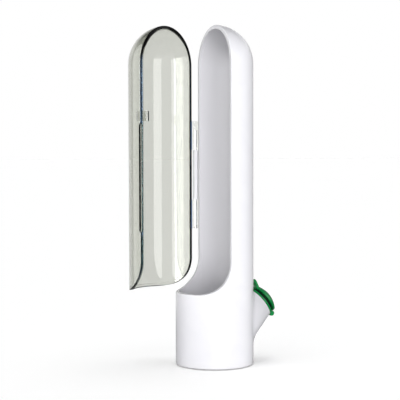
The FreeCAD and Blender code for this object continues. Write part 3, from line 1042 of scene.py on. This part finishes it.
class HERB_OT_hinges(Operator):
    """Finish both hinge pins"""

    bl_idname = "herb.hinges"
    bl_label = "Hinge pins"

    def execute(self, context):
        settings = context.scene.herb_hinges
        dress("cover_hinge_pin", drawn_steel("cover_pin_steel", settings, "Z"))
        dress("filler_hinge_pin", drawn_steel("cap_pin_steel", settings, "X"))
        return {"FINISHED"}


# ---------------------------------------------------------------- stage

FLOOR_SIZE = 60.0
CAMERA_SENSOR = 36.0
CAMERA_NEAR = 0.01
CARD_ROUGHNESS = 0.9
# The ceiling darkens between these heights of a direction, the sine of its angle above level, and
# gives this share of the even light.
CEILING_EDGE = (0.30, 0.62)
CEILING_SHARE = 0.4

# Soft lamps, each with its strength, the angle it fills, its place round the part in degrees from
# the camera, and its height above level in degrees. They pass the floor by and don't show in gloss.
SOFT_LAMPS = {
    "key": (3.25, 50, 16, 2),
    "left_fill": (1.45, 60, -88, 4),
    "right_fill": (0.45, 60, 90, 6),
    "back_fill": (2.3, 70, 184, 6),
}
# Soft overhead lamps that only the floor takes, so that the part stands in a round soft shadow.
FLOOR_LAMPS = {
    "floor_front": (0.5, 44, -30, 68),
    "floor_top": (1.4, 48, 90, 88),
    "floor_back": (0.5, 44, 150, 66),
}
# Upright panels that only the gloss shows: brightness, width, place round the part from the camera.
# The cover panel is for the clear cover alone.
PANELS = {
    "left_panel": (3.0, 0.59, -45.7),
    "cover_panel": (7.0, 0.28, -40),
    "right_panel": (2.9, 0.29, 33.8),
    "rim_panel": (1.7, 0.45, -92),
}
PANEL_HEIGHT = 0.62
PANEL_DISTANCE = 0.50
# Grey card behind the part that only the gloss shows: width, height, distance, place from the
# camera in degrees, and how pale it is.
FLAG = (0.30, 0.30, 0.20, 140)
FLAG_GREY = 0.3
# Card beside the filler neck: width, height and turn, then where its middle stands.
NECK_SHADE_SIZE = (0.020, 0.030, 80)
NECK_SHADE_PLACE = (0.060, 0.036, 0.048)
NECK_SHADE_GREY = 0.02


def make_world(settings):
    """Even light from all round, white to the camera, with a ceiling that gloss shows dark."""
    world = bpy.data.worlds.new("studio")
    world.use_nodes = True
    tree = world.node_tree
    rays = tree.nodes.new("ShaderNodeLightPath").outputs
    direction = tree.nodes.new("ShaderNodeTexCoord").outputs["Generated"]
    height = parts_of(tree, direction)["Z"]
    overhead = ramp(tree, height, *CEILING_EDGE)
    even = between(tree, overhead, settings.ambient, CEILING_SHARE * settings.ambient)
    shown = between(tree, overhead, 1.0, settings.ceiling)
    mirrored = maths(tree, "MAXIMUM", rays["Is Glossy Ray"], rays["Is Transmission Ray"])
    even = product(tree, rest_of(tree, mirrored), even)
    level = maths(tree, "ADD", product(tree, mirrored, shown), even)
    level = maths(tree, "MAXIMUM", level, rays["Is Camera Ray"])
    background = tree.nodes["Background"]
    feed(tree, background.inputs["Strength"], level)
    feed(tree, background.inputs["Color"], WHITE)
    return world


def flat_card(name, corners, material):
    """A four-cornered card in the scene."""
    mesh = bpy.data.meshes.new(name)
    mesh.from_pydata(corners, [], [(0, 1, 2, 3)])
    mesh.materials.append(material)
    return stand(name, mesh)


def hide_from(thing, *kinds):
    """Keeps a thing out of some kinds of light path."""
    for kind in kinds:
        setattr(thing, "visible_" + kind, False)


def make_floor(settings):
    """Floor that is darker in what it throws back, and in gloss near the part, than it is seen."""
    material, tree, shader = principled(
        "floor_card", Roughness=CARD_ROUGHNESS, Specular_IOR_Level=0.0, Emission_Color=WHITE
    )
    rays = tree.nodes.new("ShaderNodeLightPath").outputs
    away = distance_from_axis(tree, place(tree))
    far = ramp(tree, away, settings.near_floor, 2 * settings.near_floor)
    seen = maths(tree, "MAXIMUM", rays["Is Camera Ray"], rays["Is Transmission Ray"])
    seen = maths(tree, "MAXIMUM", seen, product(tree, rays["Is Glossy Ray"], far))
    tone = mixed(tree, seen, settings.floor_bounce, settings.floor)
    feed(tree, shader.inputs["Base Color"], tone)
    feed(tree, shader.inputs["Emission Strength"], product(tree, seen, settings.floor_lift))
    half = FLOOR_SIZE / 2
    corners = ((-half, -half, 0), (half, -half, 0), (half, half, 0), (-half, half, 0))
    floor = flat_card("floor", corners, material)
    return floor


def facing_back(azimuth, lift=0.0):
    """Level or lifted direction from the part towards a lamp, its azimuth from the open side."""
    around, up = math.radians(azimuth), math.radians(lift)
    level = math.cos(up)
    return Vector((math.sin(around) * level, -math.cos(around) * level, math.sin(up)))


def hang(name, data, location, back):
    """A lamp in its place, turned so that back points away from what it lights."""
    lamp = stand(name, data)
    lamp.location = location
    lamp.rotation_mode = "QUATERNION"
    lamp.rotation_quaternion = back.to_track_quat("Z", "Y")
    return lamp


def make_soft_lamp(name, facing, spec):
    energy, width, azimuth, lift = spec
    data = bpy.data.lights.new(name, "SUN")
    data.energy = energy
    data.angle = math.radians(width)
    back = facing_back(facing + azimuth, lift)
    lamp = hang(name, data, back, back)
    hide_from(lamp, "camera", "glossy", "transmission")
    return lamp


def link_lamp(lamp, thing, state):
    """Makes a lamp light only one thing, or everything but that thing."""
    reached = bpy.data.collections.new(lamp.name + "_reach")
    reached.objects.link(thing)
    reached.collection_objects[0].light_linking.link_state = state
    lamp.light_linking.receiver_collection = reached
    if state == "EXCLUDE":
        lamp.light_linking.blocker_collection = reached


def make_panel(name, facing):
    """Upright panel that stands on the floor, seen in gloss and not straight through the cover.

    Its power follows from its brightness and its area.
    """
    brightness, width, azimuth = PANELS[name]
    data = bpy.data.lights.new(name, "AREA")
    data.shape = "RECTANGLE"
    data.size = width
    data.size_y = PANEL_HEIGHT
    data.energy = brightness * math.pi * width * PANEL_HEIGHT
    back = facing_back(facing + azimuth)
    lamp = hang(name, data, back * PANEL_DISTANCE + Vector((0, 0, PANEL_HEIGHT / 2)), back)
    hide_from(lamp, "camera", "diffuse")
    data.use_nodes = True
    tree = data.node_tree
    rays = tree.nodes.new("ShaderNodeLightPath").outputs
    through = maths(tree, "MINIMUM", rays["Transmission Depth"], 1)
    unmirrored = rest_of(tree, maths(tree, "MINIMUM", rays["Glossy Depth"], 1))
    shown = rest_of(tree, product(tree, through, unmirrored))
    feed(tree, tree.nodes["Emission"].inputs["Strength"], shown)


def upright_card(name, width, height, middle, level, material_name):
    """A grey upright card; middle places its centre and faces it along Y."""
    sides = ((-0.5, -0.5), (0.5, -0.5), (0.5, 0.5), (-0.5, 0.5))
    corners = [middle @ Vector((x * width, 0, z * height)) for x, z in sides]
    material = principled(material_name, Base_Color=grey(level), Roughness=CARD_ROUGHNESS)[0]
    return flat_card(name, corners, material)


def make_flag(facing):
    """Upright grey card behind the part, for the gloss of the body's far edge."""
    width, height, distance, azimuth = FLAG
    around = Matrix.Rotation(math.radians(facing + azimuth), 4, "Z")
    middle = around @ Matrix.Translation((0, -distance, height / 2))
    flag = upright_card("dark_flag", width, height, middle, FLAG_GREY, "flag_card")
    hide_from(flag, "camera", "diffuse", "transmission", "shadow")


def make_neck_shade():
    """Small upright card beside the filler neck that keeps part of the key light off it."""
    width, height, azimuth = NECK_SHADE_SIZE
    turn = Matrix.Rotation(math.radians(azimuth), 4, "Z")
    middle = Matrix.Translation(NECK_SHADE_PLACE) @ turn
    card = upright_card("neck_shade", width, height, middle, NECK_SHADE_GREY, "shade_card")
    hide_from(card, "camera", "diffuse", "glossy", "transmission")


def make_camera(settings):
    data = bpy.data.cameras.new("camera")
    data.sensor_width = CAMERA_SENSOR
    data.lens = settings.lens
    data.clip_start = CAMERA_NEAR
    camera = stand("camera", data)
    around = Matrix.Rotation(settings.azimuth, 4, "Z")
    back = Matrix.Translation((0, -settings.distance, settings.height))
    level = Matrix.Rotation(math.pi / 2 - settings.pitch, 4, "X")
    turn = Matrix.Rotation(settings.yaw, 4, "Z") @ level @ Matrix.Rotation(settings.roll, 4, "Z")
    camera.matrix_world = around @ back @ turn
    bpy.context.scene.camera = camera


class HERB_OT_stage(Operator):
    """Build the floor, the soft light and the camera"""

    bl_idname = "herb.stage"
    bl_label = "Stage"

    def execute(self, context):
        scene = context.scene
        settings = scene.herb_stage
        scene.world = make_world(settings)
        scene.view_settings.view_transform = "Standard"
        floor = make_floor(settings)
        facing = math.degrees(settings.azimuth)
        for name, spec in SOFT_LAMPS.items():
            link_lamp(make_soft_lamp(name, facing, spec), floor, "EXCLUDE")
        for name, spec in FLOOR_LAMPS.items():
            link_lamp(make_soft_lamp(name, facing, spec), floor, "INCLUDE")
        for name in PANELS:
            make_panel(name, facing)
        link_lamp(bpy.data.objects["cover_panel"], bpy.data.objects["cover_shell"], "INCLUDE")
        make_flag(facing)
        make_neck_shade()
        make_camera(settings)
        return {"FINISHED"}


class HERB_PT_panel(Panel):
    """Lists the operators and the settings they read"""

    bl_idname = "HERB_PT_panel"
    bl_label = "Herb Keeper"
    bl_space_type = "VIEW_3D"
    bl_region_type = "UI"
    bl_category = "Herb Keeper"

    def draw(self, context):
        for operator, title in zip(OPERATORS, SETTINGS):
            box = self.layout.box()
            box.operator(operator.bl_idname)
            settings = getattr(context.scene, title)
            for name in settings.__annotations__:
                box.prop(settings, name)


OPERATORS = (
    HERB_OT_body,
    HERB_OT_cover,
    HERB_OT_base,
    HERB_OT_pad,
    HERB_OT_filler,
    HERB_OT_stopper,
    HERB_OT_hinges,
    HERB_OT_stage,
)


def register():
    for cls in (*SETTINGS.values(), *OPERATORS, HERB_PT_panel):
        bpy.utils.register_class(cls)
    for name, cls in SETTINGS.items():
        setattr(bpy.types.Scene, name, PointerProperty(type=cls))


def unregister():
    for name in SETTINGS:
        delattr(bpy.types.Scene, name)
    for cls in reversed((*SETTINGS.values(), *OPERATORS, HERB_PT_panel)):
        bpy.utils.unregister_class(cls)


def main():
    register()
    for operator in OPERATORS:
        family, name = operator.bl_idname.split(".")
        getattr(getattr(bpy.ops, family), name)()


if __name__ == "__main__":
    main()
